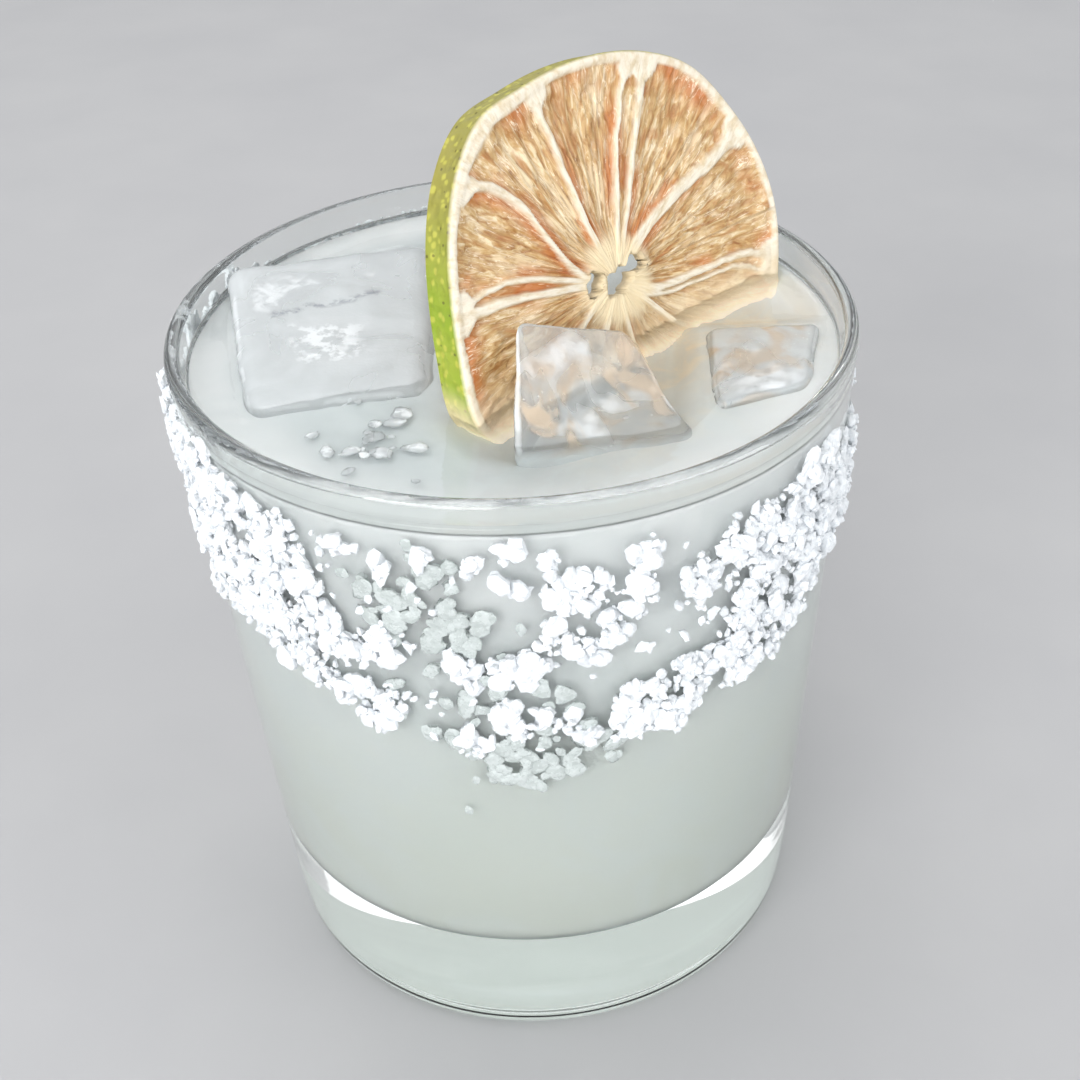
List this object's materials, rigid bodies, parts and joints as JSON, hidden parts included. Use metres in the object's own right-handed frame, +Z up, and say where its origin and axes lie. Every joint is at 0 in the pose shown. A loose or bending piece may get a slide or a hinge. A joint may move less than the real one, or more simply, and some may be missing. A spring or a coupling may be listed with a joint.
{
  "type": "margarita cocktail",
  "caption": "Margarita in a heavy-based rocks glass with a coarse salt crust outside the rim, cloudy pale drink, ice and a dried lime wheel standing in it.",
  "frame": {"origin": "centre of the glass's foot, on the surface that it stands on", "axes": "+Z up; -Y towards the front, the side from which the lime wheel shows its cut face; +X to the viewer's right"},
  "size_m": [0.0924, 0.0927, 0.1281],
  "materials": {
    "glass": "polished clear glass with white coarse salt stuck to its outer wall below the rim",
    "drink": "cloudy pale greenish white liquid",
    "lime": "dried lime slice, green skin, cream pith, amber pulp",
    "ice": "wet melting ice, clear with frosted patches"
  },
  "bodies": {
    "root": {"glass": "glass", "drink": "drink", "lime_wheel": "lime", "ice_left": "ice", "ice_front": "ice", "ice_right": "ice"}
  },
  "joints": []
}
